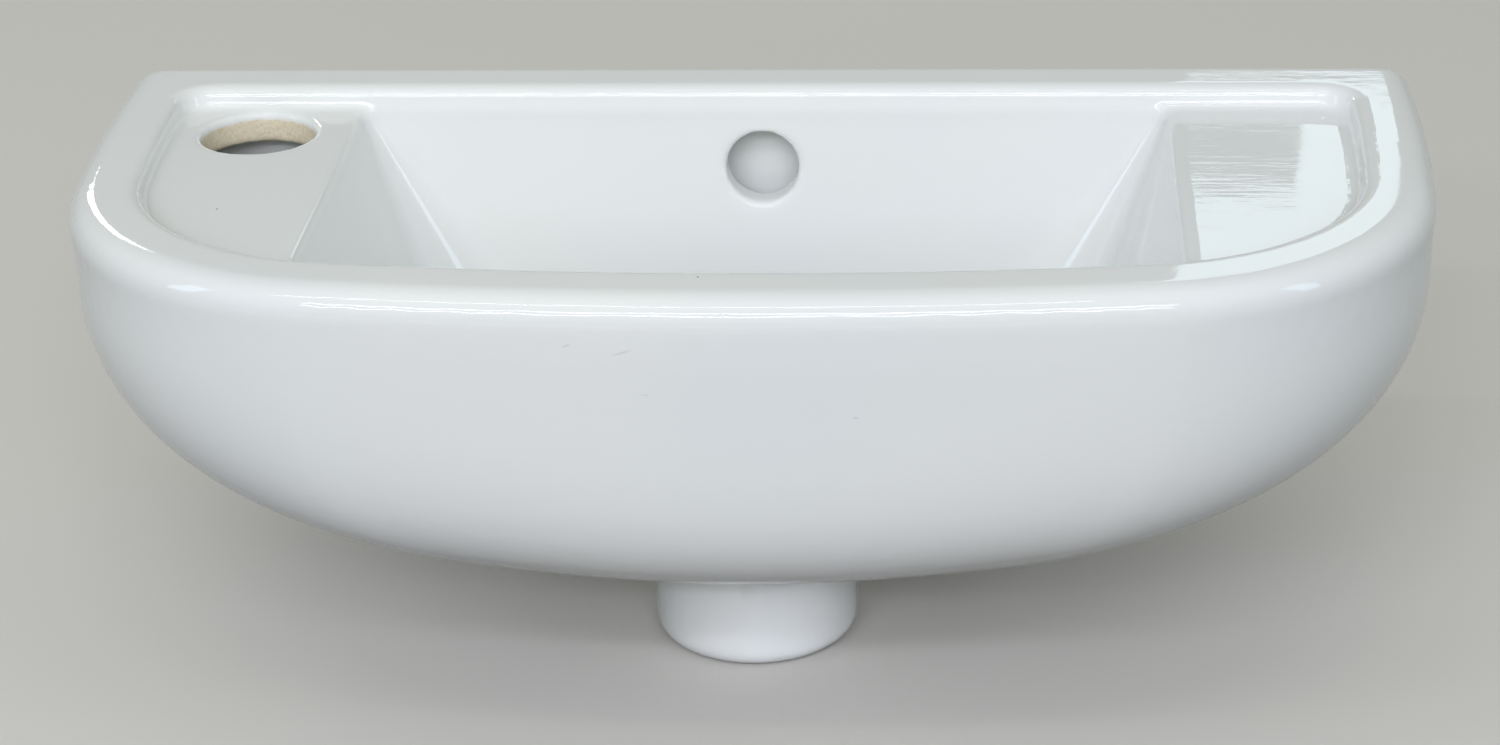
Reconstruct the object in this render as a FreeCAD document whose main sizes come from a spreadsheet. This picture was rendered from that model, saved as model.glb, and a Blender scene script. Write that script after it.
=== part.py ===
import FreeCAD, Part
import math
import os
from types import SimpleNamespace

import Sketcher

# Slim wall-hung basin with its push-to-open waste.
# Frame: +X to the user's right, front towards -Y, +Z up. The origin lies on the wall plane, midway
# between the two wall-fixing holes. Lengths are millimetres, angles degrees.

SIZES = {
    # ceramic body, outside
    "basin_width": 400.0,
    "basin_projection": 188.0,
    "floor_cover": 13.0,
    "rim_round": 8.0,
    "back_edge_round": 3.0,
    "back_corner_radius": 6.0,
    "back_trim": 1.5,
    # rim, ledges and bowl
    "rim_side_width": 21.0,
    "rim_back_width": 20.0,
    "rim_front_width": 24.0,
    "lip_round": 4.0,
    "recess_wall": 0.5,
    "cove_round": 2.2,
    "recess_back_radius": 10.0,
    "ledge_width": 77.0,
    "bowl_depth": 95.0,
    "bowl_step": 0.6,
    "ledge_round": 4.0,
    "ledge_sink": 0.4,
    "ceramic_wall": 10.0,
    "hollow_side_wall": 12.5,
    "hollow_corner_radius": 6.0,
    "back_plate": 12.0,
    # wall fixing, tap hole and overflow
    "fixing_drop": 55.0,
    "fixing_inset": 60.0,
    "fixing_hole_diameter": 16.0,
    "tap_hole_diameter": 35.0,
    "tap_hole_inset": 47.0,
    "tap_hole_back": 41.0,
    "overflow_diameter": 22.5,
    "overflow_drop": 25.5,
    "chamber_top_drop": 12.0,
    "chamber_back_wall": 6.0,
    "chamber_gap": 7.0,
    "chamber_width": 52.0,
    "passage_width": 38.0,
    "passage_height": 10.0,
    "passage_roof": 9.0,
    "hump_width": 58.0,
    "hump_round": 9.0,
    "hump_floor": 8.0,
    # waste boss
    "boss_wall": 5.5,
    "boss_taper": 1.0,
    "boss_edge_round": 5.0,
    "shoulder_cover": 3.0,
    "bore_play": 2.05,
    "shoulder_width": 2.0,
    "counterbore_depth": 30.0,
    "flange_seat_gap": 2.0,
    "flange_seat_depth": 2.5,
    # waste
    "tail_diameter": 41.9,
    "tail_wall": 2.45,
    "flange_overhang": 10.55,
    "flange_edge": 1.4,
    "flange_rise": 3.4,
    "crown_land": 5.0,
    "mouth_chamfer": 1.2,
    "thread_relief_width": 1.5,
    "thread_relief_depth": 0.8,
    "slot_width": 14.0,
    "hub_diameter": 15.0,
    "hub_height": 8.0,
    "arm_width": 4.0,
    "arm_inset": 1.0,
    "seal_thickness": 2.0,
    "seal_inset": 1.5,
    "gasket_thickness": 5.0,
    "gasket_cone": 2.0,
    "slip_washer_thickness": 2.0,
    "ring_nut_height": 9.0,
    "ring_nut_slot_width": 5.0,
    "ring_nut_slot_depth": 3.0,
    "thread_clearance": 0.1,
    "ring_clearance": 0.3,
    # push-push cartridge and plug
    "plug_travel": 8.0,
    "barrel_diameter": 16.0,
    "barrel_bore": 11.2,
    "barrel_floor": 4.0,
    "barrel_length": 28.0,
    "stud_diameter": 8.0,
    "collar_height": 3.0,
    "collar_flange_diameter": 18.0,
    "collar_spigot": 2.0,
    "spring_length": 14.0,
    "spring_wire": 0.9,
    "spring_diameter": 8.6,
    "rod_diameter": 6.0,
    "head_height": 3.0,
    "cam_height": 4.0,
    "cam_tooth_depth": 1.6,
    "cam_tooth_width": 3.0,
    "cap_inset": 0.5,
    "cap_edge": 2.2,
    "cap_bevel_width": 3.0,
    "cap_bevel_height": 1.4,
    "cap_boss_diameter": 11.0,
    "cap_boss_height": 4.5,
    "cap_spigot": 2.0,
    "plug_seal_thickness": 2.6,
    "plug_seal_inset": 1.0,
    "plug_seal_band": 7.0,
    "running_clearance": 0.3,
    "cut_overrun": 5.0,
}

SLOT_COUNT = 2
ARM_COUNT = 3
NUT_SLOT_COUNT = 4
CAM_TOOTH_COUNT = 6
SPRING_TURNS = 4
QUARTER_STEPS = 5
TOLERANCE = 1e-4

# Plan of the outside: radii as shares of half the width and of the projection
FRONT_CORNER_SHARE = 0.465
FRONT_BOW_SHARE = 4.85
SIDE_BOW_SHARE = 4.335
SIDE_WIDEST_SHARE = 0.17

# Sections of the outer skin, from the rim's rounding down to the underside. Width and projection
# shrink with depth as (1 - depth ** power) ** (1 / root), and the radii follow the width.
SKIN_DEPTH_SHARES = (0.0, 0.25, 0.45, 0.61, 0.75, 0.86, 0.935, 0.975)
SKIN_WIDTH_POWER, SKIN_WIDTH_ROOT = 3.24, 2.01
SKIN_FRONT_POWER, SKIN_FRONT_ROOT = 6.76, 4.1
SKIN_CORNER_POWER = 0.6
SKIN_BOW_POWER = 4.75
SKIN_LEAST_BOW_SHARE = 1.3
SKIN_LEAST_SIDE_SHARE = 2.6

# Bowl below its lip: straight walls, then a bend to the flat floor. Each row of shares is the value
# at the lip, its change along the walls' slope down to the floor and its further change in the bend.
BOWL_BEND_SHARE = 0.6
BOWL_WIDTH_SHARES = (1.0, -0.285, -0.255)
BOWL_BACK_SHARES = (0.003, 0.053, 0.214)
BOWL_FRONT_SHARES = (0.003, 0.04, 0.227)
BOWL_BACK_CORNER_SHARES = (0.04, 0.3, -0.16)
BOWL_FRONT_CORNER_SHARES = (0.13, 0.15, -0.05)
BOWL_BOW_SHARES = (1.0, -0.42, -0.46)

# Sections of the hollow under each ledge, from the ledge down through the underside
HOLLOW_DEPTH_SHARES = (0.0, 0.35, 0.62, 0.72, 1.0)
HOLLOW_INNER_SHARES = (0.0, -0.28, -0.5, -0.58, -0.62)
HOLLOW_OUTER_SHARES = (1.0, 0.87, 0.31, 0.13, 0.13)
HOLLOW_FRONT_SHARES = (1.0, 0.88, 0.68, 0.62, 0.6)
HOLLOW_BEND_SHARES = (1.3, 1.0, 0.72, 0.68, 0.66)
HOLLOW_REACH_SHARE = 0.84


class Size:
    """A length held twice: as a formula over the sheet and as the value that it has now."""

    def __init__(self, formula, value):
        self.formula = formula
        self.value = value

    def __add__(self, other):
        return Size(f"({self.formula} + {other.formula})", self.value + other.value)

    def __sub__(self, other):
        return Size(f"({self.formula} - {other.formula})", self.value - other.value)

    def __mul__(self, share):
        return Size(f"({self.formula} * {share})", self.value * share)

    def __truediv__(self, count):
        return Size(f"({self.formula} / {count})", self.value / count)

    def __neg__(self):
        return Size(f"(-{self.formula})", -self.value)


doc = FreeCAD.newDocument("WallBasin")
sheet = doc.addObject("Spreadsheet::Sheet", "Sizes")
for row, (alias, number) in enumerate(SIZES.items(), start=1):
    sheet.set(f"A{row}", alias)
    sheet.set(f"B{row}", str(number))
    sheet.setAlias(f"B{row}", alias)
doc.recompute()

s = SimpleNamespace(**{alias: Size(f"Sizes.{alias}", number) for alias, number in SIZES.items()})
ZERO = Size("0", 0.0)

# Sizes that follow from the ones above
half_width = s.basin_width / 2
front_corner_radius = half_width * FRONT_CORNER_SHARE
front_bow_radius = half_width * FRONT_BOW_SHARE
side_bow_radius = s.basin_projection * SIDE_BOW_SHARE
side_widest = s.basin_projection * SIDE_WIDEST_SHARE
body_depth = s.bowl_depth + s.floor_cover
bowl_half_width = half_width - s.ledge_width
ledge_depth = s.lip_round + s.recess_wall + s.cove_round
lip_top_depth = ledge_depth - s.ledge_sink
lip_end_depth = lip_top_depth + s.ledge_round
recess_half_width = half_width - s.rim_side_width
recess_front = s.basin_projection - s.rim_front_width
recess_front_radius = front_corner_radius - s.rim_side_width
recess_bow_radius = front_bow_radius - s.rim_front_width
recess_side_radius = side_bow_radius - s.rim_side_width
bowl_back = s.rim_back_width + s.bowl_step
bowl_front = recess_front - s.bowl_step
bowl_length = bowl_front - bowl_back
waste_back = (bowl_back + bowl_front) / 2
passage_top_depth = s.bowl_depth + s.passage_roof
passage_bottom_depth = passage_top_depth + s.passage_height
shoulder_depth = passage_bottom_depth + s.shoulder_cover
boss_drop = shoulder_depth + s.counterbore_depth
tail_bore_diameter = s.tail_diameter - s.tail_wall * 2
waste_bore_diameter = s.tail_diameter + s.bore_play * 2
counterbore_diameter = waste_bore_diameter + s.shoulder_width * 2
boss_tip_diameter = counterbore_diameter + s.boss_wall * 2
flange_diameter = s.tail_diameter + s.flange_overhang * 2
crown_diameter = tail_bore_diameter + s.crown_land * 2
cap_diameter = crown_diameter - s.cap_inset * 2
plug_seal_diameter = cap_diameter - s.plug_seal_inset * 2
plug_seal_bore = plug_seal_diameter - s.plug_seal_band * 2
washer_top_depth = shoulder_depth + s.gasket_thickness
nut_top_depth = washer_top_depth + s.slip_washer_thickness
nut_base_depth = nut_top_depth + s.ring_nut_height
seat_depth = s.bowl_depth + s.flange_seat_depth
flange_base_depth = seat_depth - s.seal_thickness
flange_top_depth = flange_base_depth - s.flange_rise - s.flange_edge
plug_seal_base_depth = flange_top_depth - s.plug_travel - s.running_clearance
cap_base_depth = plug_seal_base_depth - s.plug_seal_thickness
collar_top_depth = cap_base_depth + s.cap_boss_height + s.plug_travel + s.running_clearance
barrel_top_depth = collar_top_depth + s.collar_height
barrel_base_depth = barrel_top_depth + s.barrel_length
hub_base_depth = barrel_base_depth + s.hub_height
spring_base_depth = barrel_base_depth - s.barrel_floor
head_base_depth = spring_base_depth - s.spring_length
cam_base_depth = head_base_depth - s.head_height


def level(depth):
    """Height of a plane that lies so far below the rim's top."""
    return s.fixing_drop - depth


def origin_plane(body, role):
    return next(item for item in body.Origin.OriginFeatures if item.Role == role)


def new_body(label, back=None, height=None):
    body = doc.addObject("PartDesign::Body", label)
    body.Label = label
    if back is not None:
        body.setExpression(".Placement.Base.y", (-back).formula)
    if height is not None:
        body.setExpression(".Placement.Base.z", height.formula)
    return body


def new_sketch(body, name, role="XY_Plane", offset=None):
    sketch = body.newObject("Sketcher::SketchObject", name)
    sketch.AttachmentSupport = [(origin_plane(body, role), "")]
    sketch.MapMode = "FlatFace"
    if offset is not None:
        sketch.setExpression(".AttachmentOffset.Base.z", offset.formula)
    return sketch


def drive(sketch, name, kind, refs, size):
    """Adds a dimension and ties it to the sheet."""
    index = sketch.addConstraint(Sketcher.Constraint(kind, *refs, size.value))
    sketch.renameConstraint(index, name)
    sketch.setExpression(f"Constraints.{name}", size.formula)


def arc(centre, radius, start, end):
    circle = Part.Circle(centre, FreeCAD.Vector(0, 0, 1), radius)
    return Part.ArcOfCircle(circle, start, end)


def join_in_loop(sketch, count):
    """Makes each edge of a closed outline run smoothly into the next."""
    for index in range(count):
        following = (index + 1) % count
        sketch.addConstraint(Sketcher.Constraint("Tangent", index, 2, following, 1))


def inner_tangent_centre(first, first_radius, second, second_radius, radius):
    """Centre, nearest the front, of a circle that touches two larger ones from inside."""
    to_second = second - first
    span = to_second.Length
    near, far = first_radius - radius, second_radius - radius
    along = (near ** 2 - far ** 2 + span ** 2) / (2 * span)
    across = math.sqrt(near ** 2 - along ** 2)
    to_second.normalize()
    middle = first + to_second * along
    normal = FreeCAD.Vector(-to_second.y, to_second.x, 0) * across
    return min(middle + normal, middle - normal, key=lambda centre: centre.y)


def d_outline(body, name, height, half, back, front, back_radius, front_radius, bow_radius, side=None):
    """Outline with a straight back, two sides, rounded corners and a bowed front.

    The sides are straight, or arcs where side gives their radius and how far from the wall they
    are widest. A negative back lies behind the wall plane.
    """
    vec = FreeCAD.Vector
    back_y = -back.value
    small, large, bow = back_radius.value, front_radius.value, bow_radius.value
    bow_centre = vec(0, bow - front.value, 0)
    right = math.pi / 2
    if side:
        side_radius = side[0].value
        side_centre = vec(half.value - side_radius, -side[1].value, 0)
        corner = inner_tangent_centre(side_centre, side_radius, bow_centre, bow, large)
        rear_y = back_y - small
        reach = math.sqrt((side_radius - small) ** 2 - (rear_y - side_centre.y) ** 2)
        rear = vec(side_centre.x + reach, rear_y, 0)
        rear_turn = math.atan2(rear.y - side_centre.y, rear.x - side_centre.x)
        front_turn = math.atan2(corner.y - side_centre.y, corner.x - side_centre.x)
        other_centre = vec(-side_centre.x, side_centre.y, 0)
        right_side = arc(side_centre, side_radius, front_turn, rear_turn)
        left_side = arc(other_centre, side_radius, math.pi - rear_turn, math.pi - front_turn)
    else:
        corner_x = half.value - large
        corner = vec(corner_x, bow_centre.y - math.sqrt((bow - large) ** 2 - corner_x ** 2), 0)
        rear = vec(half.value - small, back_y - small, 0)
        rear_turn = front_turn = 0.0
        right_side = Part.LineSegment(vec(half.value, corner.y, 0), vec(half.value, rear.y, 0))
        left_side = Part.LineSegment(vec(-half.value, rear.y, 0), vec(-half.value, corner.y, 0))
    turn = math.atan2(corner.y - bow_centre.y, corner.x)

    sketch = new_sketch(body, name, offset=height)
    sketch.addGeometry([
        right_side,
        arc(rear, small, rear_turn, right),
        Part.LineSegment(vec(rear.x, back_y, 0), vec(-rear.x, back_y, 0)),
        arc(vec(-rear.x, rear.y, 0), small, right, math.pi - rear_turn),
        left_side,
        arc(vec(-corner.x, corner.y, 0), large, math.pi - front_turn, math.pi - turn),
        arc(bow_centre, bow, math.pi - turn, 2 * math.pi + turn),
        arc(corner, large, turn, front_turn),
    ], False)
    join_in_loop(sketch, 8)
    sketch.addConstraint(Sketcher.Constraint("Horizontal", 2))
    sketch.addConstraint(Sketcher.Constraint("Equal", 1, 3))
    sketch.addConstraint(Sketcher.Constraint("Equal", 7, 5))
    sketch.addConstraint(Sketcher.Constraint("PointOnObject", 6, 3, -2))
    drive(sketch, "BackRadius", "Radius", (1,), back_radius)
    drive(sketch, "FrontRadius", "Radius", (7,), front_radius)
    drive(sketch, "BowRadius", "Radius", (6,), bow_radius)
    drive(sketch, "BowCentre", "DistanceY", (-1, 1, 6, 3), bow_radius - front)
    if back.value > 0:
        drive(sketch, "Back", "DistanceY", (2, 1, -1, 1), back)
    else:
        drive(sketch, "Behind", "DistanceY", (-1, 1, 2, 1), -back)
    if side:
        sketch.addConstraint(Sketcher.Constraint("Equal", 0, 4))
        sketch.addConstraint(Sketcher.Constraint("Symmetric", 4, 3, 0, 3, -2))
        drive(sketch, "SideRadius", "Radius", (0,), side[0])
        drive(sketch, "SideCentre", "DistanceX", (0, 3, 4, 3), (side[0] - half) * 2)
        drive(sketch, "SideWidest", "DistanceY", (0, 3, -1, 1), side[1])
    else:
        sketch.addConstraint(Sketcher.Constraint("Vertical", 0))
        sketch.addConstraint(Sketcher.Constraint("Symmetric", 4, 2, 0, 1, -2))
        drive(sketch, "Width", "DistanceX", (4, 2, 0, 1), half * 2)
    return sketch


def hollow_outline(body, name, height, inner, outer, back, front, corner_radius, bend_radius):
    """Outline to the left of the bowl: three straight walls and a wide bend round the front."""
    vec = FreeCAD.Vector
    left, right = -outer.value, -inner.value
    rear = -back.value
    small, large = corner_radius.value, bend_radius.value
    quarter = math.pi / 2
    bend = vec(left + large, large - front.value, 0)
    tip_x = right - small
    tip = vec(tip_x, bend.y - math.sqrt((large - small) ** 2 - (tip_x - bend.x) ** 2), 0)
    turn = math.atan2(tip.y - bend.y, tip.x - bend.x)
    sketch = new_sketch(body, name, offset=height)
    sketch.addGeometry([
        Part.LineSegment(vec(right, tip.y, 0), vec(right, rear - small, 0)),
        arc(vec(right - small, rear - small, 0), small, 0, quarter),
        Part.LineSegment(vec(right - small, rear, 0), vec(left + small, rear, 0)),
        arc(vec(left + small, rear - small, 0), small, quarter, math.pi),
        Part.LineSegment(vec(left, rear - small, 0), vec(left, bend.y, 0)),
        arc(bend, large, math.pi, 2 * math.pi + turn),
        arc(tip, small, turn, 0),
    ], False)
    join_in_loop(sketch, 7)
    for edge, kind in ((0, "Vertical"), (2, "Horizontal"), (4, "Vertical")):
        sketch.addConstraint(Sketcher.Constraint(kind, edge))
    sketch.addConstraint(Sketcher.Constraint("Equal", 1, 3))
    sketch.addConstraint(Sketcher.Constraint("Equal", 1, 6))
    drive(sketch, "CornerRadius", "Radius", (1,), corner_radius)
    drive(sketch, "BendRadius", "Radius", (5,), bend_radius)
    drive(sketch, "Inner", "DistanceX", (0, 1, -1, 1), inner)
    drive(sketch, "Outer", "DistanceX", (4, 1, -1, 1), outer)
    drive(sketch, "Back", "DistanceY", (2, 1, -1, 1), back)
    drive(sketch, "BendCentre", "DistanceY", (5, 3, -1, 1), front - bend_radius)
    return sketch


def polygon(body, name, points, role="XZ_Plane", offset=None):
    """Closed straight-sided outline whose corners are all tied to the sheet."""
    sketch = new_sketch(body, name, role, offset)
    corners = [FreeCAD.Vector(x.value, y.value, 0) for x, y in points]
    count = len(corners)
    for index, corner in enumerate(corners):
        sketch.addGeometry(Part.LineSegment(corner, corners[(index + 1) % count]), False)
    for index in range(count):
        following = (index + 1) % count
        sketch.addConstraint(Sketcher.Constraint("Coincident", index, 2, following, 1))
    for index, (x, y) in enumerate(points):
        if x is ZERO:
            sketch.addConstraint(Sketcher.Constraint("PointOnObject", index, 1, -2))
        else:
            drive(sketch, f"X{index}", "DistanceX", (index, 1), x)
        if y is ZERO:
            sketch.addConstraint(Sketcher.Constraint("PointOnObject", index, 1, -1))
        else:
            drive(sketch, f"Y{index}", "DistanceY", (index, 1), y)
    return sketch


def circles(body, name, items, role="XY_Plane", offset=None):
    """Circles given as (x, y, diameter)."""
    sketch = new_sketch(body, name, role, offset)
    for index, (x, y, diameter) in enumerate(items):
        centre = FreeCAD.Vector(x.value, y.value, 0)
        sketch.addGeometry(Part.Circle(centre, FreeCAD.Vector(0, 0, 1), diameter.value / 2), False)
        drive(sketch, f"Diameter{index}", "Diameter", (index,), diameter)
        if x is ZERO:
            sketch.addConstraint(Sketcher.Constraint("PointOnObject", index, 3, -2))
        else:
            drive(sketch, f"X{index}", "DistanceX", (index, 3), x)
        if y is ZERO:
            sketch.addConstraint(Sketcher.Constraint("PointOnObject", index, 3, -1))
        else:
            drive(sketch, f"Y{index}", "DistanceY", (index, 3), y)
    return sketch


def loft(body, kind, name, sections, ruled=False):
    feature = body.newObject(f"PartDesign::{kind}Loft", name)
    feature.Profile = sections[0]
    feature.Sections = [(section, [""]) for section in sections[1:]]
    feature.Ruled = ruled
    return feature


def extrude(body, kind, name, sketch, length, towards_normal=True):
    """Pad or pocket of a fixed length, along the sketch's normal or against it."""
    feature = body.newObject(f"PartDesign::{kind}", name)
    feature.Profile = sketch
    feature.setExpression("Length", length.formula)
    feature.Reversed = towards_normal if kind == "Pocket" else not towards_normal
    return feature


def revolve(body, kind, name, sketch):
    feature = body.newObject(f"PartDesign::{kind}", name)
    feature.Profile = sketch
    feature.ReferenceAxis = (sketch, ["V_Axis"])
    feature.Angle = 360.0
    return feature


def around_axis(body, name, original, count):
    pattern = body.newObject("PartDesign::PolarPattern", name)
    pattern.Originals = [original]
    axis = next(item for item in body.Origin.OriginFeatures if item.Role == "Z_Axis")
    pattern.Axis = (axis, [""])
    pattern.Angle = 360.0
    pattern.Occurrences = count
    body.Tip = pattern
    return pattern


def round_edge(feature, radius, height):
    """Name of the feature's round edge of that radius at that height."""
    for index, edge in enumerate(feature.Shape.Edges, start=1):
        if not isinstance(edge.Curve, Part.Circle):
            continue
        same_radius = abs(edge.Curve.Radius - radius.value) < TOLERANCE
        if same_radius and abs(edge.Curve.Center.z - height.value) < TOLERANCE:
            return f"Edge{index}"
    raise RuntimeError(f"{feature.Name} has no such round edge")


def quarter_turn():
    """Angles from the level to the upright end of a quarter round."""
    return [math.pi / 2 * step / QUARTER_STEPS for step in range(QUARTER_STEPS + 1)]


def share(number):
    """A share rounded so that the formulas stay readable."""
    return round(number, 4)


def basin_outside(body):
    """Boat-shaped skin, the rounded rim on top of it and the back that is ground flat."""
    skin = []
    for step, down in enumerate(SKIN_DEPTH_SHARES):
        width = share((1 - down ** SKIN_WIDTH_POWER) ** (1 / SKIN_WIDTH_ROOT))
        front = share((1 - down ** SKIN_FRONT_POWER) ** (1 / SKIN_FRONT_ROOT))
        fade = width ** SKIN_BOW_POWER
        bow = SKIN_LEAST_BOW_SHARE * width + (FRONT_BOW_SHARE - SKIN_LEAST_BOW_SHARE) * fade
        side = SKIN_LEAST_SIDE_SHARE * front + (SIDE_BOW_SHARE - SKIN_LEAST_SIDE_SHARE) * fade
        skin.append(d_outline(
            body, f"SkinOutline{step}", level(s.rim_round + (body_depth - s.rim_round) * down),
            half_width * width, -s.back_trim, s.basin_projection * front, s.back_corner_radius,
            front_corner_radius * share(width ** SKIN_CORNER_POWER), half_width * share(bow),
            (s.basin_projection * share(side), side_widest * front)))
    loft(body, "Additive", "Skin", skin)

    rim = []
    for step, angle in enumerate(reversed(quarter_turn())):
        inset = s.rim_round * share(1 - math.sin(angle))
        drop = s.rim_round * share(1 - math.cos(angle))
        back = s.back_edge_round * share((1 - math.sin(angle)) ** 2) if step else -s.back_trim
        rim.append(d_outline(
            body, f"RimOutline{step}", level(drop), half_width - inset, back,
            s.basin_projection - inset,
            s.back_corner_radius - s.back_edge_round * share(1 - math.sin(angle)),
            front_corner_radius - inset, front_bow_radius - inset,
            (side_bow_radius - inset, side_widest)))
    loft(body, "Additive", "Rim", rim, ruled=True)

    reach = half_width + s.cut_overrun
    below = level(body_depth + s.cut_overrun)
    above = level(-s.cut_overrun)
    back_sketch = polygon(body, "BackOutline", [
        (-reach, below), (reach, below), (reach, above), (-reach, above),
    ])
    extrude(body, "Pocket", "GroundBack", back_sketch, s.back_trim + s.cut_overrun,
            towards_normal=False)


def basin_boss(body):
    """Waste boss and the hump over the overflow passage that leads to it."""
    tip = boss_tip_diameter / 2
    root = tip + s.boss_taper
    boss_sketch = polygon(body, "BossProfile", [
        (ZERO, level(s.bowl_depth)),
        (root, level(s.bowl_depth)),
        (tip, level(boss_drop)),
        (ZERO, level(boss_drop)),
    ], offset=waste_back)
    boss = revolve(body, "Revolution", "Boss", boss_sketch)
    doc.recompute()
    fillet = body.newObject("PartDesign::Fillet", "BossEdge")
    fillet.Base = (boss, [round_edge(boss, tip, level(boss_drop))])
    fillet.setExpression("Radius", s.boss_edge_round.formula)

    bottom = level(passage_bottom_depth + s.hump_floor)
    side = s.hump_width / 2
    hump_sketch = polygon(body, "HumpProfile", [
        (-side, level(s.bowl_depth)),
        (-side, bottom + s.hump_round),
        (s.hump_round - side, bottom),
        (side - s.hump_round, bottom),
        (side, bottom + s.hump_round),
        (side, level(s.bowl_depth)),
    ])
    extrude(body, "Pad", "OverflowHump", hump_sketch, waste_back)


def basin_recess(body):
    """Shallow recess inside the rim: its floor is the two ledges beside the bowl."""
    sections = []
    for angle in quarter_turn():
        sections.append((-(s.lip_round * share(1 - math.sin(angle))),
                         s.lip_round * share(1 - math.cos(angle))))
    for angle in quarter_turn():
        sections.append((s.cove_round * share(1 - math.cos(angle)),
                         s.lip_round + s.recess_wall + s.cove_round * share(math.sin(angle))))
    outlines = []
    for step, (inset, drop) in enumerate(sections):
        outlines.append(d_outline(
            body, f"RecessOutline{step}", level(drop), recess_half_width - inset,
            s.rim_back_width + inset, recess_front - inset, s.recess_back_radius - inset,
            recess_front_radius - inset, recess_bow_radius - inset,
            (recess_side_radius - inset, side_widest)))
    loft(body, "Subtractive", "Recess", outlines, ruled=True)


def basin_bowl(body):
    """Bowl between the ledges: rounded ledge edges, straight walls and a bend to the floor."""
    def bowl_outline(name, depth, half, down=0.0, turn=0.0):
        def follow(shares):
            at_lip, on_slope, in_bend = shares
            return share(at_lip + on_slope * down + in_bend * turn)

        return d_outline(
            body, name, level(depth), half * follow(BOWL_WIDTH_SHARES),
            bowl_back + bowl_length * follow(BOWL_BACK_SHARES),
            bowl_front - bowl_length * follow(BOWL_FRONT_SHARES),
            bowl_half_width * follow(BOWL_BACK_CORNER_SHARES),
            bowl_half_width * follow(BOWL_FRONT_CORNER_SHARES),
            recess_bow_radius * follow(BOWL_BOW_SHARES))

    lip = []
    for step, angle in enumerate(quarter_turn()):
        lip.append(bowl_outline(
            f"LipOutline{step}", lip_top_depth + s.ledge_round * share(1 - math.cos(angle)),
            bowl_half_width + s.ledge_round * share(1 - math.sin(angle))))
    extrude(body, "Pocket", "BowlMouth", lip[0], lip_top_depth - s.lip_round - s.recess_wall)
    loft(body, "Subtractive", "BowlLip", lip, ruled=True)

    bend = []
    for step, angle in enumerate(quarter_turn()):
        down = BOWL_BEND_SHARE + (1 - BOWL_BEND_SHARE) * math.sin(angle)
        depth = lip_end_depth + (s.bowl_depth - lip_end_depth) * share(down)
        bend.append(bowl_outline(f"BendOutline{step}", depth, bowl_half_width, down,
                                 1 - math.cos(angle)))
    loft(body, "Subtractive", "BowlWalls", [lip[-1], bend[0]], ruled=True)
    loft(body, "Subtractive", "BowlFloor", bend)


def basin_hollows(body):
    """Hollows under the ledges, open below, that give access to the tap and the wall fixings."""
    roof = ledge_depth + s.ceramic_wall
    reach = body_depth + s.cut_overrun - roof
    inner = bowl_half_width + s.ceramic_wall
    span = s.ledge_width - s.ceramic_wall - s.hollow_side_wall
    front = s.basin_projection * HOLLOW_REACH_SHARE
    outlines = []
    rows = zip(HOLLOW_DEPTH_SHARES, HOLLOW_INNER_SHARES, HOLLOW_OUTER_SHARES,
               HOLLOW_FRONT_SHARES, HOLLOW_BEND_SHARES)
    for step, (down, near, far, forward, bend) in enumerate(rows):
        outlines.append(hollow_outline(
            body, f"HollowOutline{step}", level(roof + reach * down), inner + span * near,
            inner + span * far, s.back_plate, front * forward, s.hollow_corner_radius,
            span * share((far - near) * bend)))
    hollow = loft(body, "Subtractive", "LedgeHollow", outlines, ruled=True)
    mirrored = body.newObject("PartDesign::Mirrored", "OtherLedgeHollow")
    mirrored.Originals = [hollow]
    mirrored.MirrorPlane = (origin_plane(body, "YZ_Plane"), [""])
    body.Tip = mirrored


def basin_waterways(body):
    """Overflow hole, the chamber behind the bowl, the passage to the waste and the waste bore."""
    top = level(s.chamber_top_drop)
    bottom = level(passage_bottom_depth)
    wide = s.chamber_width / 2
    narrow = s.passage_width / 2
    chamber_sketch = polygon(body, "ChamberOutline", [
        (-wide, top), (-narrow, bottom), (narrow, bottom), (wide, top),
    ], offset=s.chamber_back_wall)
    extrude(body, "Pocket", "OverflowChamber", chamber_sketch, s.chamber_gap)

    passage_sketch = polygon(body, "PassageOutline", [
        (-narrow, level(passage_top_depth)), (-narrow, bottom),
        (narrow, bottom), (narrow, level(passage_top_depth)),
    ], offset=s.chamber_back_wall)
    extrude(body, "Pocket", "OverflowPassage", passage_sketch, waste_back - s.chamber_back_wall)

    overflow_sketch = circles(body, "OverflowCircle", [
        (ZERO, level(s.overflow_drop), s.overflow_diameter),
    ], "XZ_Plane", s.chamber_back_wall + s.chamber_gap / 2)
    extrude(body, "Pocket", "OverflowHole", overflow_sketch, s.rim_back_width)

    bore = waste_bore_diameter / 2
    counterbore = counterbore_diameter / 2
    seat = flange_diameter / 2 + s.flange_seat_gap
    above = level(s.bowl_depth - s.cut_overrun)
    below = level(boss_drop + s.cut_overrun)
    bore_sketch = polygon(body, "WasteBoreProfile", [
        (ZERO, above), (seat, above), (seat, level(seat_depth)), (bore, level(seat_depth)),
        (bore, level(shoulder_depth)), (counterbore, level(shoulder_depth)),
        (counterbore, below), (ZERO, below),
    ], offset=waste_back)
    revolve(body, "Groove", "WasteBore", bore_sketch)


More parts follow.
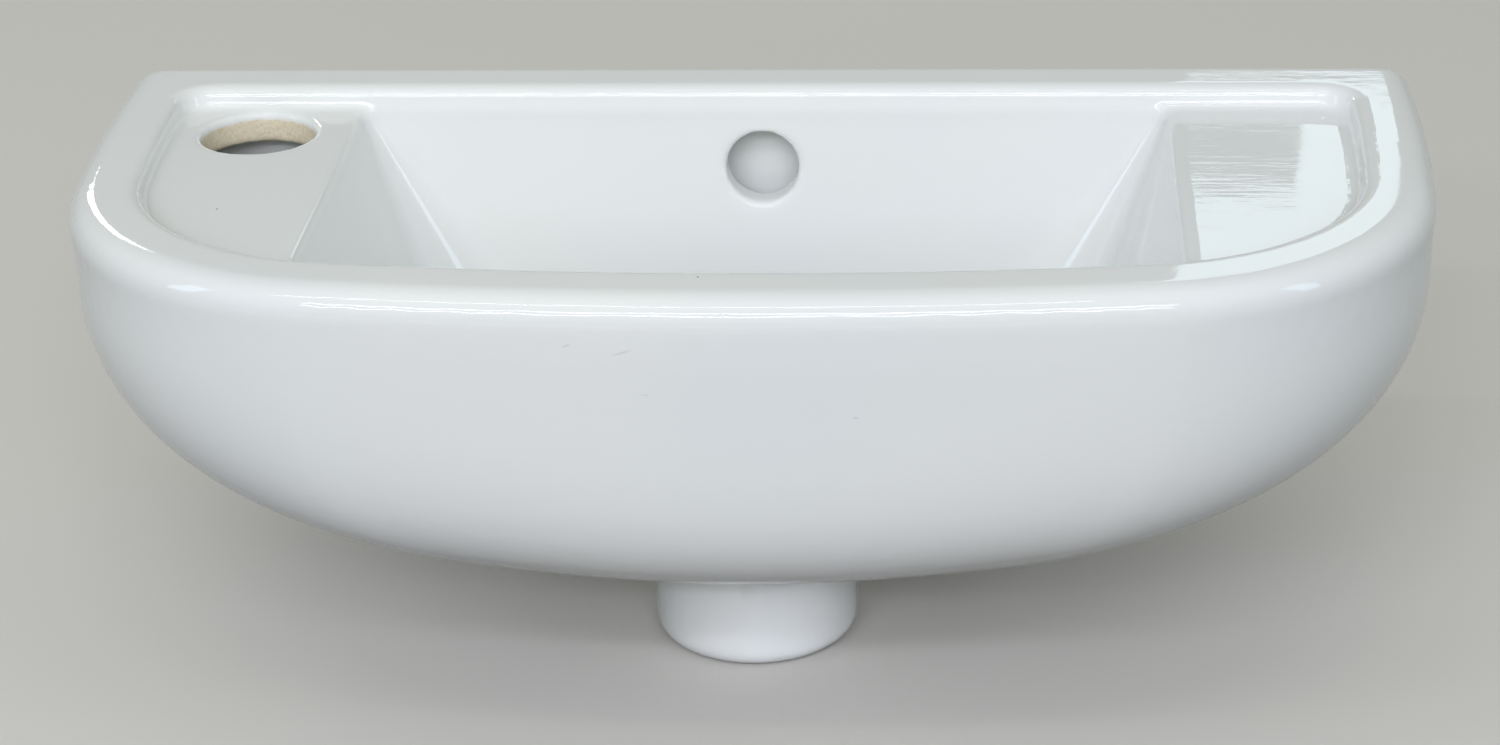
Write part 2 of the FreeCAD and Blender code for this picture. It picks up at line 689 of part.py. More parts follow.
def basin_holes(body):
    """Tap hole through the left ledge and the two wall-fixing holes."""
    tap_sketch = circles(body, "TapHoleCircle", [
        (s.tap_hole_inset - half_width, -s.tap_hole_back, s.tap_hole_diameter),
    ], offset=level(ledge_depth - s.cove_round))
    extrude(body, "Pocket", "TapHole", tap_sketch,
            s.ceramic_wall + s.cove_round + s.cut_overrun, towards_normal=False)
    side = half_width - s.fixing_inset
    fixing_sketch = circles(body, "FixingCircles", [
        (-side, ZERO, s.fixing_hole_diameter), (side, ZERO, s.fixing_hole_diameter),
    ], "XZ_Plane")
    extrude(body, "Pocket", "FixingHoles", fixing_sketch, s.back_plate + s.cut_overrun)


def build_basin():
    body = new_body("basin")
    basin_outside(body)
    basin_boss(body)
    basin_recess(body)
    basin_bowl(body)
    basin_hollows(body)
    basin_waterways(body)
    basin_holes(body)
    return body


def ring(label, base_depth, outer, inner, height):
    """Flat ring round the waste's axis."""
    body = new_body(label, waste_back, level(base_depth))
    sketch = circles(body, f"{label}_circles", [(ZERO, ZERO, outer), (ZERO, ZERO, inner)])
    extrude(body, "Pad", f"{label}_pad", sketch, height)
    return body


def build_waste_body():
    """Flanged tail with two overflow slots and a three-armed spider that holds the cartridge."""
    body = new_body("waste_body", waste_back, level(flange_base_depth))
    bore = tail_bore_diameter / 2
    tail = s.tail_diameter / 2
    flange = flange_diameter / 2
    crown = crown_diameter / 2
    top = s.flange_edge + s.flange_rise
    end = flange_base_depth - boss_drop
    relief = tail - s.thread_relief_depth
    relief_top = flange_base_depth - nut_base_depth
    relief_end = relief_top - s.thread_relief_width
    profile = polygon(body, "TailProfile", [
        (bore, end), (tail, end), (tail, relief_end), (relief, relief_end), (relief, relief_top),
        (tail, relief_top), (tail, ZERO), (flange, ZERO), (flange, s.flange_edge), (crown, top),
        (bore + s.mouth_chamfer, top), (bore, top - s.mouth_chamfer),
    ])
    revolve(body, "Revolution", "Tail", profile)

    side = s.slot_width / 2
    slot_top = flange_base_depth - passage_top_depth
    slot_end = flange_base_depth - passage_bottom_depth
    slot_sketch = polygon(body, "SlotOutline", [
        (-side, slot_top), (-side, slot_end), (side, slot_end), (side, slot_top),
    ])
    slot = extrude(body, "Pocket", "Slot", slot_sketch, s.tail_diameter)
    around_axis(body, "Slots", slot, SLOT_COUNT)

    hub_base = flange_base_depth - hub_base_depth
    thick = s.arm_width / 2
    reach = (bore + tail) / 2
    arm_sketch = polygon(body, "ArmOutline", [
        (ZERO, -thick), (reach, -thick), (reach, thick), (ZERO, thick),
    ], "XY_Plane", hub_base + s.arm_inset)
    arm = extrude(body, "Pad", "Arm", arm_sketch, s.hub_height - s.arm_inset * 2)
    around_axis(body, "Arms", arm, ARM_COUNT)
    hub_sketch = circles(body, "HubCircle", [(ZERO, ZERO, s.hub_diameter)], offset=hub_base)
    extrude(body, "Pad", "Hub", hub_sketch, s.hub_height)
    stud_sketch = circles(body, "StudHole", [
        (ZERO, ZERO, s.stud_diameter + s.thread_clearance * 2),
    ], offset=hub_base)
    extrude(body, "Pocket", "HubBore", stud_sketch, s.hub_height)
    return body


def build_tail_gasket():
    """Rubber ring under the boss's shoulder, with a cone that wedges into the bore."""
    body = new_body("tail_gasket", waste_back, level(washer_top_depth))
    inner = s.tail_diameter / 2 + s.thread_clearance
    outer = counterbore_diameter / 2 - s.ring_clearance
    neck = waste_bore_diameter / 2 - s.ring_clearance
    profile = polygon(body, "GasketProfile", [
        (inner, ZERO), (outer, ZERO), (outer, s.gasket_thickness), (neck, s.gasket_thickness),
        (inner, s.gasket_thickness + s.gasket_cone),
    ])
    revolve(body, "Revolution", "Gasket", profile)
    return body


def build_ring_nut():
    """Round nut on the tail, driven by four slots in its lower face."""
    outer = counterbore_diameter - s.ring_clearance * 2
    body = ring("ring_nut", nut_base_depth, outer, s.tail_diameter + s.thread_clearance * 2,
                s.ring_nut_height)
    side = s.ring_nut_slot_width / 2
    slot_sketch = polygon(body, "NutSlotOutline", [
        (-side, ZERO), (side, ZERO), (side, s.ring_nut_slot_depth), (-side, s.ring_nut_slot_depth),
    ])
    slot = extrude(body, "Pocket", "NutSlot", slot_sketch, outer)
    around_axis(body, "NutSlots", slot, NUT_SLOT_COUNT)
    return body


def build_cartridge_housing():
    """Barrel of the push-push mechanism, on a stud that screws into the hub."""
    body = new_body("cartridge_housing", waste_back, level(barrel_base_depth))
    stud = s.stud_diameter / 2
    barrel = s.barrel_diameter / 2
    bore = s.barrel_bore / 2
    profile = polygon(body, "BarrelProfile", [
        (ZERO, -s.hub_height), (stud, -s.hub_height), (stud, ZERO), (barrel, ZERO),
        (barrel, s.barrel_length), (bore, s.barrel_length), (bore, s.barrel_floor),
        (ZERO, s.barrel_floor),
    ])
    revolve(body, "Revolution", "Barrel", profile)
    return body


def build_barrel_collar():
    """Screwed collar that closes the barrel and guides the rod."""
    body = new_body("barrel_collar", waste_back, level(barrel_top_depth))
    guide = s.rod_diameter / 2 + s.running_clearance
    spigot = s.barrel_bore / 2 - s.thread_clearance
    flange = s.collar_flange_diameter / 2
    profile = polygon(body, "CollarProfile", [
        (guide, -s.collar_spigot), (spigot, -s.collar_spigot), (spigot, ZERO), (flange, ZERO),
        (flange, s.collar_height), (guide, s.collar_height),
    ])
    revolve(body, "Revolution", "Collar", profile)
    return body


def build_cartridge_spring():
    """Square-wire compression spring between the barrel's floor and the plunger's head."""
    body = new_body("cartridge_spring", waste_back, level(spring_base_depth - s.spring_wire / 2))
    inner = (s.spring_diameter - s.spring_wire) / 2
    outer = (s.spring_diameter + s.spring_wire) / 2
    thick = s.spring_wire / 2
    wire_sketch = polygon(body, "WireOutline", [
        (inner, -thick), (outer, -thick), (outer, thick), (inner, thick),
    ])
    helix = body.newObject("PartDesign::AdditiveHelix", "Coil")
    helix.Profile = wire_sketch
    helix.ReferenceAxis = (wire_sketch, ["V_Axis"])
    helix.Mode = "height-turns-angle"
    helix.setExpression("Height", (s.spring_length - s.spring_wire).formula)
    helix.Turns = SPRING_TURNS
    return body


def build_cartridge_plunger():
    """Rod that carries the cap, with a head that rides in the barrel."""
    body = new_body("cartridge_plunger", waste_back, level(head_base_depth))
    rod = s.rod_diameter / 2
    head = s.barrel_bore / 2 - s.running_clearance
    top = head_base_depth - cap_base_depth
    profile = polygon(body, "PlungerProfile", [
        (ZERO, ZERO), (head, ZERO), (head, s.head_height), (rod, s.head_height), (rod, top),
        (ZERO, top),
    ])
    revolve(body, "Revolution", "Plunger", profile)
    return body


def build_cam_sleeve():
    """Sleeve round the rod with a crown of saw teeth that index the plunger."""
    inner = s.rod_diameter + s.running_clearance * 2
    outer = s.barrel_bore - s.running_clearance * 2
    body = ring("cam_sleeve", cam_base_depth - s.running_clearance, outer, inner, s.cam_height)
    side = s.cam_tooth_width / 2
    tooth_sketch = polygon(body, "ToothOutline", [
        (-side, s.cam_height), (side, s.cam_height - s.cam_tooth_depth), (side, s.cam_height),
    ])
    tooth = extrude(body, "Pocket", "Tooth", tooth_sketch, outer)
    around_axis(body, "Teeth", tooth, CAM_TOOTH_COUNT)
    return body


def build_plug_cap():
    """Bevelled cap with a spigot for its seal and a threaded boss for the rod."""
    body = new_body("plug_cap", waste_back, level(cap_base_depth))
    hole = s.rod_diameter / 2 + s.thread_clearance
    boss = s.cap_boss_diameter / 2
    spigot = plug_seal_bore / 2 - s.thread_clearance
    cap = cap_diameter / 2
    top = s.cap_edge + s.cap_bevel_height
    profile = polygon(body, "CapProfile", [
        (ZERO, ZERO), (hole, ZERO), (hole, -s.cap_boss_height), (boss, -s.cap_boss_height),
        (boss, -s.cap_spigot), (spigot, -s.cap_spigot), (spigot, ZERO), (cap, ZERO),
        (cap, s.cap_edge), (cap - s.cap_bevel_width, top), (ZERO, top),
    ])
    revolve(body, "Revolution", "Cap", profile)
    return body


sub_parts = [
    build_basin(),
    build_waste_body(),
    ring("flange_seal", seat_depth, flange_diameter - s.seal_inset * 2, waste_bore_diameter,
         s.seal_thickness),
    build_tail_gasket(),
    ring("slip_washer", nut_top_depth, counterbore_diameter - s.ring_clearance * 2,
         s.tail_diameter + s.ring_clearance * 2, s.slip_washer_thickness),
    build_ring_nut(),
    build_cartridge_housing(),
    build_barrel_collar(),
    build_cartridge_spring(),
    build_cartridge_plunger(),
    build_cam_sleeve(),
    build_plug_cap(),
    ring("plug_seal", plug_seal_base_depth, plug_seal_diameter, plug_seal_bore,
         s.plug_seal_thickness),
]
doc.recompute()

for item in doc.Objects:
    if "Invalid" in item.State or "Error" in item.State:
        raise RuntimeError(f"{item.Name} failed: {item.State}")
for body in sub_parts:
    shape = body.Shape
    if shape.isNull() or not shape.isValid() or len(shape.Solids) != 1:
        raise RuntimeError(f"{body.Label} has no single valid solid")

os.makedirs("parts", exist_ok=True)
for body in sub_parts:
    body.Shape.exportStep(f"parts/{body.Label}.step")
    print(f"{body.Label}: {body.Shape.Volume / 1000:.2f} cubic centimetres")
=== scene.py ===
import math
from collections import namedtuple

import bpy
from mathutils import Matrix, Vector


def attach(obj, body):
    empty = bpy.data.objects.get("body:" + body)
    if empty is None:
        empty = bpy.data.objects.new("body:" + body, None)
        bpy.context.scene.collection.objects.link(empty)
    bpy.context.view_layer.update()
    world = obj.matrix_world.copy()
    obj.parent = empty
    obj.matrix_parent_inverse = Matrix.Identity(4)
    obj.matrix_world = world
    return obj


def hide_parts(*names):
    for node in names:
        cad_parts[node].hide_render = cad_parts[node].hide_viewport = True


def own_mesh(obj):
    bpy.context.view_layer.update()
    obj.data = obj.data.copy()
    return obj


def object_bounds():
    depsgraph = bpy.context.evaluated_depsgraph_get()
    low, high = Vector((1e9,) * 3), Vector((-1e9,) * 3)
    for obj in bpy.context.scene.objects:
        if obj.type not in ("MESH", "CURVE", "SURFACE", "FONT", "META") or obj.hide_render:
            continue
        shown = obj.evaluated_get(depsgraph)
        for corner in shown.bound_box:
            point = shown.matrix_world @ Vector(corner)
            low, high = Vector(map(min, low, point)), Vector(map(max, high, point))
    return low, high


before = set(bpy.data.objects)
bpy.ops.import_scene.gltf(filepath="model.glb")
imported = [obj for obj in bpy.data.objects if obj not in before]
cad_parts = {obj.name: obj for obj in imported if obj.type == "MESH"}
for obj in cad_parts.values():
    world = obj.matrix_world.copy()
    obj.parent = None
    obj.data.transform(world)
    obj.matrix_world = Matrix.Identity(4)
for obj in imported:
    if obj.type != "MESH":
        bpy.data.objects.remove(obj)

# Slim wall-hung basin: its finishes, floor, light and camera. Lengths are metres in the part's own
# frame: the origin is on the wall plane between the fixing holes, the front faces -Y and +Z is up.

CAD_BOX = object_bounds()
MM = 0.001

# Noise that picks out patches, and the two levels that a smooth step runs between
Patches = namedtuple("Patches", "scale detail low high")
# Noise as relief, its depth in metres and how strongly it tilts the surface
Relief = namedtuple("Relief", "scale detail depth strength")
# Thin mark on the glaze, as it lies when seen from the front
Scuff = namedtuple("Scuff", "middle half_length slope_degrees")
# What finishes of one kind share: patches of a darker tone and of another roughness
Kind = namedtuple("Kind", "tones shade gloss gloss_range metallic")
Finish = namedtuple("Finish", "name kind colour roughness relief")
# Rectangular lamp: mirrored says whether glossy surfaces show it
Lamp = namedtuple("Lamp", "name place target size power colour beam_degrees mirrored",
                  defaults=((1.0, 1.0, 1.0), 180.0, True))

# Camera, fitted to the photograph
CAMERA_PLACE = Vector((0.0704, -1.0392, 0.4198))
CAMERA_YAW, CAMERA_PITCH, CAMERA_ROLL = -0.0746, 0.4237, -0.0265
CAMERA_LENS, CAMERA_SENSOR = 84.4, 36.0

# Soft edges of the casting
VOXEL = 1.25 * MM
SMOOTH_STEPS, SMOOTH_FACTOR = 6, 0.5

# Glaze
WHITE = (0.825, 0.838, 0.82, 1.0)
COOL_WHITE = (0.80, 0.822, 0.82, 1.0)
GLAZE_CLOUDS = Patches(9.0, 2.0, 0.35, 0.7)
GLAZE_SHINE = Patches(30.0, 4.0, 0.3, 0.75)
GLAZE_ROUGHNESS = (0.025, 0.06)
GLAZE_IOR = 1.52
GLAZE_WAVES = Relief(38.0, 1.0, 0.35 * MM, 0.17)
GLAZE_STREAKS = Relief(260.0, 3.0, 0.06 * MM, 0.6)
STREAK_STRETCH = (0.12, 1.0, 1.0)
GLAZE_PEEL = Relief(420.0, 2.0, 0.02 * MM, 0.25)

# Bare body in the tap hole and against the wall
TAP_HOLE_CENTRE = (-153.0 * MM, -41.0 * MM)
TAP_HOLE_RADIUS = 17.5 * MM
TAP_HOLE_MARGIN = (0.8 * MM, 1.6 * MM)
LEDGE_HEIGHT = 48.3 * MM
LEDGE_THICKNESS = 10.0 * MM
UNDERSIDE_MARGIN = (2.0 * MM, 1.0 * MM)
GLAZE_EDGE, GLAZE_EDGE_FADE = 2.2 * MM, 0.7 * MM
WOBBLE_SCALE, WOBBLE_DETAIL, WOBBLE_HEIGHT = 240.0, 2.0, 1.2 * MM
WALL_FACE_GLAZE = (-0.5 * MM, -0.1 * MM)
BISCUIT = (0.80, 0.73, 0.56, 1.0)
DARK_BISCUIT = (0.70, 0.61, 0.44, 1.0)
WALL_BISCUIT = (0.82, 0.80, 0.74, 1.0)
DARK_WALL_BISCUIT = (0.75, 0.73, 0.66, 1.0)
BISCUIT_GRAIN = Patches(900.0, 3.0, 0.3, 0.75)
BISCUIT_ROUGHNESS = 0.8

# Small flaws in the glaze
PINHOLES = ((-152.8 * MM, -104.6 * MM, 48.3 * MM), (-7.9 * MM, -170.5 * MM, 55.0 * MM))
PINHOLE_RADIUS, PINHOLE_CORE = 0.45 * MM, 0.4
SPECK = (0.12, 0.10, 0.08, 1.0)
SCUFFS = (
    Scuff((-27.5 * MM, -187.7 * MM, 40.2 * MM), 4.0 * MM, 17.0),
    Scuff((-42.3 * MM, -187.1 * MM, 42.0 * MM), 1.8 * MM, 20.0),
    Scuff((-21.6 * MM, -187.8 * MM, 28.0 * MM), 2.0 * MM, 4.0),
    Scuff((34.8 * MM, -187.3 * MM, 21.3 * MM), 1.6 * MM, -12.0),
)
SCUFF_DEPTH, SCUFF_HEIGHT, SCUFF_CORE = 3.0 * MM, 0.45 * MM, 0.2
SCUFF_BREAKS = Patches(700.0, 2.0, 0.35, 0.6)
SCUFF_SHARE = 0.5
SCUFF_GREY = (0.56, 0.57, 0.57, 1.0)

# Finishes of the waste and its push-push cartridge
METAL = Kind(Patches(25.0, 2.0, 0.35, 0.7), 0.86, Patches(60.0, 4.0, 0.3, 0.8), (1.0, 2.2), 1.0)
MOULDED = Kind(Patches(70.0, 3.0, 0.3, 0.75), 0.8, Patches(120.0, 2.0, 0.3, 0.75), (0.85, 1.15), 0.0)
POLISH_MARKS = Relief(700.0, 3.0, 0.02 * MM, 0.4)
TURNING_MARKS = Relief(900.0, 3.0, 0.02 * MM, 0.4)
RUBBER_GRAIN = Relief(1500.0, 2.0, 0.03 * MM, 0.5)
NYLON_GRAIN = Relief(900.0, 2.0, 0.02 * MM, 0.5)
ACETAL_GRAIN = Relief(1200.0, 2.0, 0.02 * MM, 0.5)
CHROME = Finish("chrome_plate", METAL, (0.80, 0.81, 0.82, 1.0), 0.07, POLISH_MARKS)
BRASS = Finish("turned_brass", METAL, (0.72, 0.53, 0.25, 1.0), 0.22, TURNING_MARKS)
STEEL = Finish("spring_wire", METAL, (0.56, 0.56, 0.58, 1.0), 0.25, TURNING_MARKS)
RUBBER = Finish("seal_rubber", MOULDED, (0.045, 0.045, 0.05, 1.0), 0.6, RUBBER_GRAIN)
NYLON = Finish("nylon", MOULDED, (0.80, 0.78, 0.72, 1.0), 0.45, NYLON_GRAIN)
ACETAL = Finish("acetal", MOULDED, (0.09, 0.095, 0.105, 1.0), 0.4, ACETAL_GRAIN)

# CAD nodes that stay, with their finishes
NODE_FINISHES = {
    "waste_body": CHROME,
    "plug_cap": CHROME,
    "flange_seal": RUBBER,
    "tail_gasket": RUBBER,
    "plug_seal": RUBBER,
    "slip_washer": NYLON,
    "ring_nut": BRASS,
    "barrel_collar": BRASS,
    "cartridge_plunger": BRASS,
    "cartridge_housing": ACETAL,
    "cam_sleeve": ACETAL,
}

# Floor, which is seen pale but throws little light back up
FLOOR_SIZE = 12.0
FLOOR_COLOUR = (0.70, 0.68, 0.64, 1.0)
FLOOR_BOUNCE = (0.10, 0.098, 0.095, 1.0)
FLOOR_LIGHTER, FLOOR_ROUGHNESS = 1.04, 0.85
FLOOR_CLOUD_SCALE, FLOOR_CLOUD_DETAIL = 3.0, 2.0

# Light: a pale sky, soft room lamps, thin lamps for lines of shine, and panes of a window behind
SKY_COLOUR, SKY_STRENGTH = (0.97, 1.0, 0.93, 1.0), 0.38
ROOM = (0.90, 0.915, 1.0)
BLUE = (0.60, 0.82, 1.0)
WARM = (1.0, 0.95, 0.85)
PANE = (0.80, 0.94, 1.0)
LAMPS = (
    Lamp("room_low", (-0.10, -2.3, 1.0), (-0.10, -0.1, 0.0), (2.1, 0.7), 15.0, ROOM, mirrored=False),
    Lamp("room_high", (-0.10, -2.05, 1.42), (-0.10, -0.1, 0.0), (2.1, 0.7), 9.0, ROOM, mirrored=False),
    Lamp("shine_low", (-0.10, -2.3, 1.20), (-0.10, -0.15, 0.05), (2.1, 0.10), 9.5, ROOM),
    Lamp("shine_high", (-0.10, -2.05, 1.60), (-0.10, -0.15, 0.05), (2.1, 0.10), 9.5, ROOM),
    Lamp("side_soft", (-2.0, -0.8, 1.0), (0.0, -0.1, 0.0), (0.35, 1.0), 3.5, BLUE),
    Lamp("side_fill", (2.0, -0.8, 0.9), (0.0, -0.1, 0.0), (0.35, 1.0), 3.5, BLUE),
    Lamp("back_fill", (0.0, 2.5, 0.10), (0.0, 0.0, 0.0), (1.6, 0.3), 16.0, mirrored=False),
    Lamp("boss_fill", (0.50, -1.5, 0.04), (0.01, -0.12, -0.10), (0.05, 0.03), 0.0045, ROOM, 5.0),
    Lamp("ceiling_strip", (-0.40, -1.0, 2.0), (-0.40, -0.1, 0.05), (1.7, 0.06), 3.0, WARM),
    Lamp("left_window", (-0.88, 1.5, 0.82), (-0.19, -0.1, 0.05), (0.2, 0.45), 1.5),
    Lamp("rear_pane", (0.30, 1.5, 0.90), (0.30, 0.0, 0.90), (0.17, 0.47), 0.42, PANE),
    Lamp("rear_pane_low", (0.345, 1.5, 0.628), (0.345, 0.0, 0.628), (0.08, 0.074), 0.032, PANE),
    Lamp("rear_pane_sill", (0.275, 1.5, 0.592), (0.275, 0.0, 0.592), (0.11, 0.015), 0.009, PANE),
)

# Colour sockets of a mix node
MIX_FIRST, MIX_SECOND, MIX_RESULT = 6, 7, 2


class Graph:
    """A material's node tree, with short ways to add and join nodes."""

    def __init__(self, name):
        self.material = bpy.data.materials.new(name)
        self.material.use_nodes = True
        self.tree = self.material.node_tree
        self.shader = self.tree.nodes["Principled BSDF"]

    def add(self, kind, inputs=None, **settings):
        node = self.tree.nodes.new(f"ShaderNode{kind}")
        for key, value in settings.items():
            setattr(node, key, value)
        for key, value in (inputs or {}).items():
            self.feed(node.inputs[key], value)
        return node

    def feed(self, socket, value):
        if isinstance(value, bpy.types.NodeSocket):
            self.tree.links.new(value, socket)
        else:
            socket.default_value = value

    def set(self, **sockets):
        for key, value in sockets.items():
            self.feed(self.shader.inputs[key.replace("_", " ")], value)

    def place(self):
        """Position on the object, in metres."""
        return self.add("TexCoord").outputs["Object"]

    def math(self, operation, first, second):
        return self.add("Math", {0: first, 1: second}, operation=operation).outputs[0]

    def ramp(self, value, low, high, to_low=0.0, to_high=1.0):
        """Smooth step of a value from one level to another."""
        node = self.add("MapRange", {"Value": value, "From Min": low, "From Max": high,
                                     "To Min": to_low, "To Max": to_high},
                        interpolation_type="SMOOTHSTEP")
        return node.outputs["Result"]

    def noise(self, place, scale, detail):
        return self.add("TexNoise", {"Vector": place, "Scale": scale, "Detail": detail}).outputs["Fac"]

    def patches(self, place, patches, to_low=0.0, to_high=1.0):
        noise = self.noise(place, patches.scale, patches.detail)
        return self.ramp(noise, patches.low, patches.high, to_low, to_high)

    def relief(self, place, relief, under=None):
        """Normal tilted by a relief, which lies on another one where that is given."""
        height = self.noise(place, relief.scale, relief.detail)
        node = self.add("Bump", {"Height": height, "Distance": relief.depth, "Strength": relief.strength})
        if under is not None:
            self.feed(node.inputs["Normal"], under)
        return node.outputs["Normal"]

    def mix(self, share, first, second):
        node = self.add("Mix", data_type="RGBA")
        self.feed(node.inputs["Factor"], share)
        self.feed(node.inputs[MIX_FIRST], first)
        self.feed(node.inputs[MIX_SECOND], second)
        return node.outputs[MIX_RESULT]

    def distance(self, place, point):
        node = self.add("VectorMath", {0: place, 1: point}, operation="DISTANCE")
        return node.outputs["Value"]

    def stroke(self, place, middle, half_sizes, slope):
        """Distance from the middle of a sloping mark, where 1 is its edge."""
        node = self.add("Mapping", {"Vector": place, "Location": middle, "Scale": half_sizes,
                                    "Rotation": (0.0, -math.radians(slope), 0.0)},
                        vector_type="TEXTURE")
        return self.add("VectorMath", {0: node.outputs[0]}, operation="LENGTH").outputs["Value"]


def shaded(colour, share):
    return tuple(part * share for part in colour[:3]) + (1.0,)


def bare_shares(g, place):
    """How far the body is bare, in the tap hole and on the wall face."""
    axes = g.add("SeparateXYZ", {0: place}).outputs
    flat_place = g.add("CombineXYZ", {"X": axes["X"], "Y": axes["Y"]}).outputs[0]
    from_axis = g.distance(flat_place, (*TAP_HOLE_CENTRE, 0.0))
    wobble = g.math("MULTIPLY", g.noise(place, WOBBLE_SCALE, WOBBLE_DETAIL), WOBBLE_HEIGHT)
    below_edge = g.ramp(g.math("ADD", axes["Z"], wobble), LEDGE_HEIGHT - GLAZE_EDGE,
                        LEDGE_HEIGHT - GLAZE_EDGE + GLAZE_EDGE_FADE, 1.0, 0.0)
    near_hole = g.ramp(from_axis, *(TAP_HOLE_RADIUS + margin for margin in TAP_HOLE_MARGIN), 1.0, 0.0)
    underside = LEDGE_HEIGHT - LEDGE_THICKNESS
    in_ledge = g.ramp(axes["Z"], *(underside - margin for margin in UNDERSIDE_MARGIN))
    in_hole = g.math("MULTIPLY", g.math("MULTIPLY", below_edge, near_hole), in_ledge)
    return in_hole, g.ramp(axes["Y"], *WALL_FACE_GLAZE)


def flawed(g, place, colour):
    """The colour with pinholes and faint scuffs on it."""
    for point in PINHOLES:
        spot = g.ramp(g.distance(place, point), PINHOLE_CORE * PINHOLE_RADIUS, PINHOLE_RADIUS, 1.0, 0.0)
        colour = g.mix(spot, colour, SPECK)
    broken = g.patches(place, SCUFF_BREAKS, 0.0, SCUFF_SHARE)
    for scuff in SCUFFS:
        half_sizes = (scuff.half_length, SCUFF_DEPTH, SCUFF_HEIGHT)
        edge = g.stroke(place, scuff.middle, half_sizes, scuff.slope_degrees)
        mark = g.math("MULTIPLY", g.ramp(edge, SCUFF_CORE, 1.0, 1.0, 0.0), broken)
        colour = g.mix(mark, colour, SCUFF_GREY)
    return colour


def glaze_material():
    """Glossy white glaze, a little uneven; the body is bare in the tap hole and against the wall."""
    g = Graph("white_glaze")
    place = g.place()
    in_hole, at_wall = bare_shares(g, place)
    colour = g.mix(g.patches(place, GLAZE_CLOUDS), WHITE, COOL_WHITE)
    grain = g.patches(place, BISCUIT_GRAIN)
    colour = g.mix(in_hole, colour, g.mix(grain, BISCUIT, DARK_BISCUIT))
    colour = g.mix(at_wall, colour, g.mix(grain, WALL_BISCUIT, DARK_WALL_BISCUIT))
    colour = flawed(g, place, colour)

    shine = g.patches(place, GLAZE_SHINE, *GLAZE_ROUGHNESS)
    bare = g.math("MAXIMUM", in_hole, at_wall)
    roughness = g.math("MAXIMUM", shine, g.math("MULTIPLY", bare, BISCUIT_ROUGHNESS))
    drawn_out = g.add("VectorMath", {0: place, 1: STREAK_STRETCH}, operation="MULTIPLY").outputs[0]
    waves = g.relief(place, GLAZE_WAVES)
    streaks = g.relief(drawn_out, GLAZE_STREAKS, waves)
    peel = g.relief(place, GLAZE_PEEL, streaks)
    g.set(Base_Color=colour, Roughness=roughness, Normal=peel, IOR=GLAZE_IOR)
    return g.material


def finish_material(finish):
    """Metal, rubber or plastic with slight changes of tone and gloss and a fine relief."""
    g = Graph(finish.name)
    kind = finish.kind
    place = g.place()
    tone = g.mix(g.patches(place, kind.tones), finish.colour, shaded(finish.colour, kind.shade))
    gloss = g.patches(place, kind.gloss, *(finish.roughness * share for share in kind.gloss_range))
    g.set(Base_Color=tone, Roughness=gloss, Normal=g.relief(place, finish.relief), Metallic=kind.metallic)
    return g.material


def floor_material():
    g = Graph("pale_floor")
    clouds = g.noise(g.place(), FLOOR_CLOUD_SCALE, FLOOR_CLOUD_DETAIL)
    seen = g.mix(clouds, FLOOR_COLOUR, shaded(FLOOR_COLOUR, FLOOR_LIGHTER))
    path = g.add("LightPath").outputs
    direct = g.math("MAXIMUM", path["Is Camera Ray"], path["Is Glossy Ray"])
    direct = g.math("MAXIMUM", direct, path["Is Transmission Ray"])
    g.set(Base_Color=g.mix(direct, FLOOR_BOUNCE, seen), Roughness=FLOOR_ROUGHNESS)
    return g.material


def linked_object(name, data):
    obj = bpy.data.objects.new(name, data)
    bpy.context.scene.collection.objects.link(obj)
    return obj


def set_material(obj, material):
    obj.data.materials.clear()
    obj.data.materials.append(material)


def evaluated_copy(obj, name):
    """A new object that holds obj's mesh with its modifiers applied."""
    graph = bpy.context.evaluated_depsgraph_get()
    mesh = bpy.data.meshes.new_from_object(obj.evaluated_get(graph))
    mesh.name = name
    return linked_object(name, mesh)


def ceramic_body(material):
    """The casting with the soft edges that a thick glaze leaves, in place of the CAD solid."""
    source = linked_object("ceramic_source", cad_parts["basin"].data.copy())
    remesh = source.modifiers.new("even_mesh", "REMESH")
    remesh.mode = "VOXEL"
    remesh.voxel_size = VOXEL
    soften = source.modifiers.new("glaze_softening", "SMOOTH")
    soften.factor = SMOOTH_FACTOR
    soften.iterations = SMOOTH_STEPS
    body = evaluated_copy(source, "ceramic_body")
    bpy.data.objects.remove(source)
    set_material(body, material)
    body.data.shade_smooth()
    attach(body, "fixed")
    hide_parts("basin")


def sprung_coil(material):
    """The spring as a piece of its own, with its own mesh, fixed to the basin in place of the CAD node.
    """
    coil = linked_object("sprung_coil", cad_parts["cartridge_spring"].data.copy())
    set_material(coil, material)
    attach(coil, "fixed")
    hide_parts("cartridge_spring")
    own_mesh(coil)


def dress_node(name, material):
    """Keeps a CAD node and gives it its finish, smooth within each CAD face."""
    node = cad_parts[name]
    set_material(node, material)
    for polygon in node.data.polygons:
        polygon.use_smooth = True


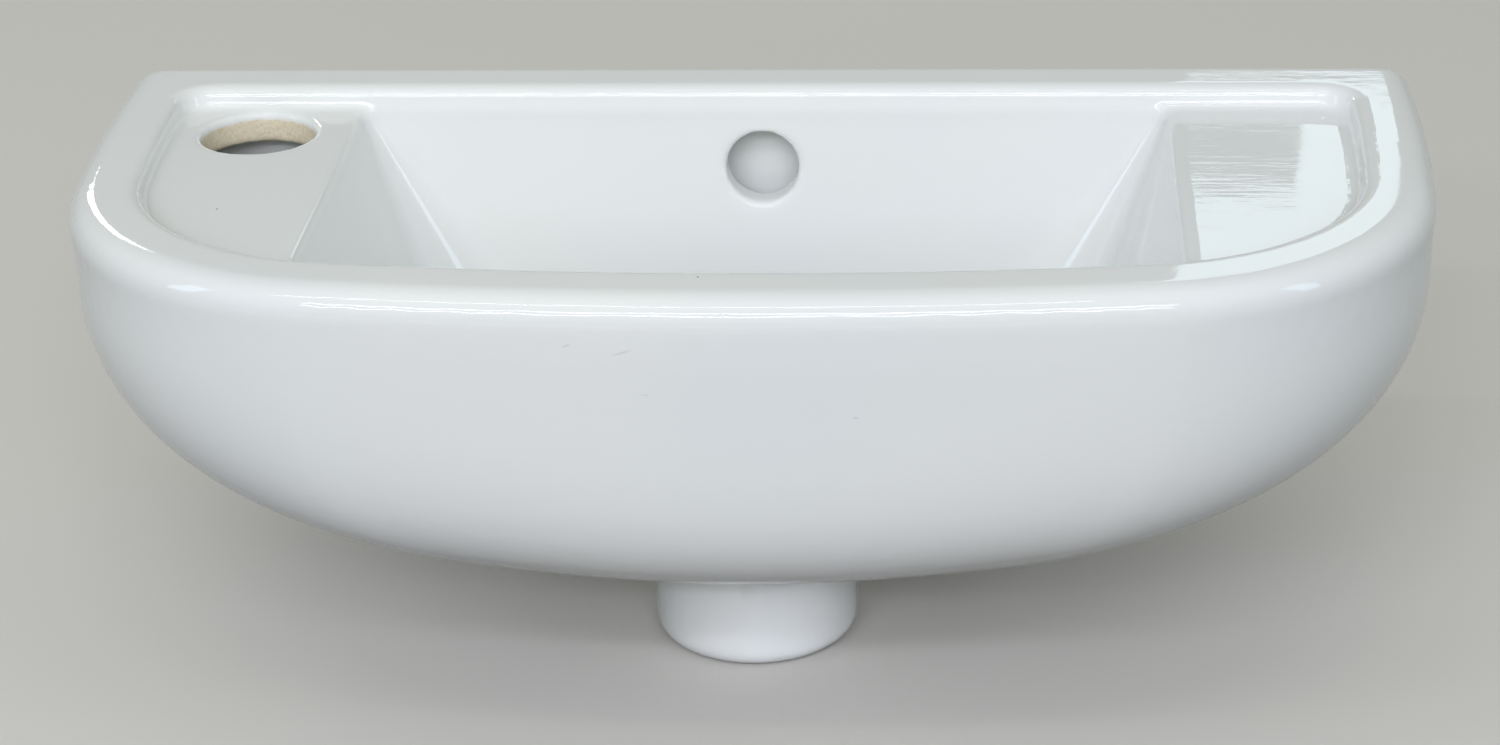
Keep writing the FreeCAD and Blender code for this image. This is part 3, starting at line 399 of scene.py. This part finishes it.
def build_lamp(lamp):
    data = bpy.data.lights.new(lamp.name, "AREA")
    data.shape = "RECTANGLE"
    data.size, data.size_y = lamp.size
    data.energy = lamp.power
    data.color = lamp.colour
    data.spread = math.radians(lamp.beam_degrees)
    light = linked_object(lamp.name, data)
    light.visible_glossy = lamp.mirrored
    light.location = lamp.place
    aim = Vector(lamp.target) - Vector(lamp.place)
    light.rotation_euler = aim.to_track_quat("-Z", "Y").to_euler()


def build_camera():
    forward = Vector((math.sin(CAMERA_YAW) * math.cos(CAMERA_PITCH),
                      math.cos(CAMERA_YAW) * math.cos(CAMERA_PITCH), -math.sin(CAMERA_PITCH)))
    level_right = Vector((math.cos(CAMERA_YAW), -math.sin(CAMERA_YAW), 0.0))
    level_up = level_right.cross(forward)
    right = level_right * math.cos(CAMERA_ROLL) + level_up * math.sin(CAMERA_ROLL)
    up = level_up * math.cos(CAMERA_ROLL) - level_right * math.sin(CAMERA_ROLL)
    data = bpy.data.cameras.new("camera")
    data.lens = CAMERA_LENS
    data.sensor_width = CAMERA_SENSOR
    camera = linked_object("camera", data)
    turn = Matrix((right, up, -forward)).transposed().to_4x4()
    camera.matrix_world = Matrix.Translation(CAMERA_PLACE) @ turn
    bpy.context.scene.camera = camera


def build_stage():
    """Pale floor at the boss's foot, soft sky light and lamps."""
    floor_height = CAD_BOX[0][2]
    mesh = bpy.data.meshes.new("floor")
    half = FLOOR_SIZE / 2
    corners = [(-half, -half, floor_height), (half, -half, floor_height),
               (half, half, floor_height), (-half, half, floor_height)]
    mesh.from_pydata(corners, [], [range(len(corners))])
    floor = linked_object("floor", mesh)
    set_material(floor, floor_material())

    world = bpy.data.worlds.new("soft_sky")
    world.use_nodes = True
    background = world.node_tree.nodes["Background"]
    background.inputs["Color"].default_value = SKY_COLOUR
    background.inputs["Strength"].default_value = SKY_STRENGTH
    bpy.context.scene.world = world
    for lamp in LAMPS:
        build_lamp(lamp)


ceramic_body(glaze_material())
finishes = (CHROME, BRASS, STEEL, RUBBER, NYLON, ACETAL)
materials = {finish.name: finish_material(finish) for finish in finishes}
sprung_coil(materials[STEEL.name])
for node_name, finish in NODE_FINISHES.items():
    dress_node(node_name, materials[finish.name])

build_stage()
build_camera()
bpy.context.scene.view_settings.view_transform = "Standard"
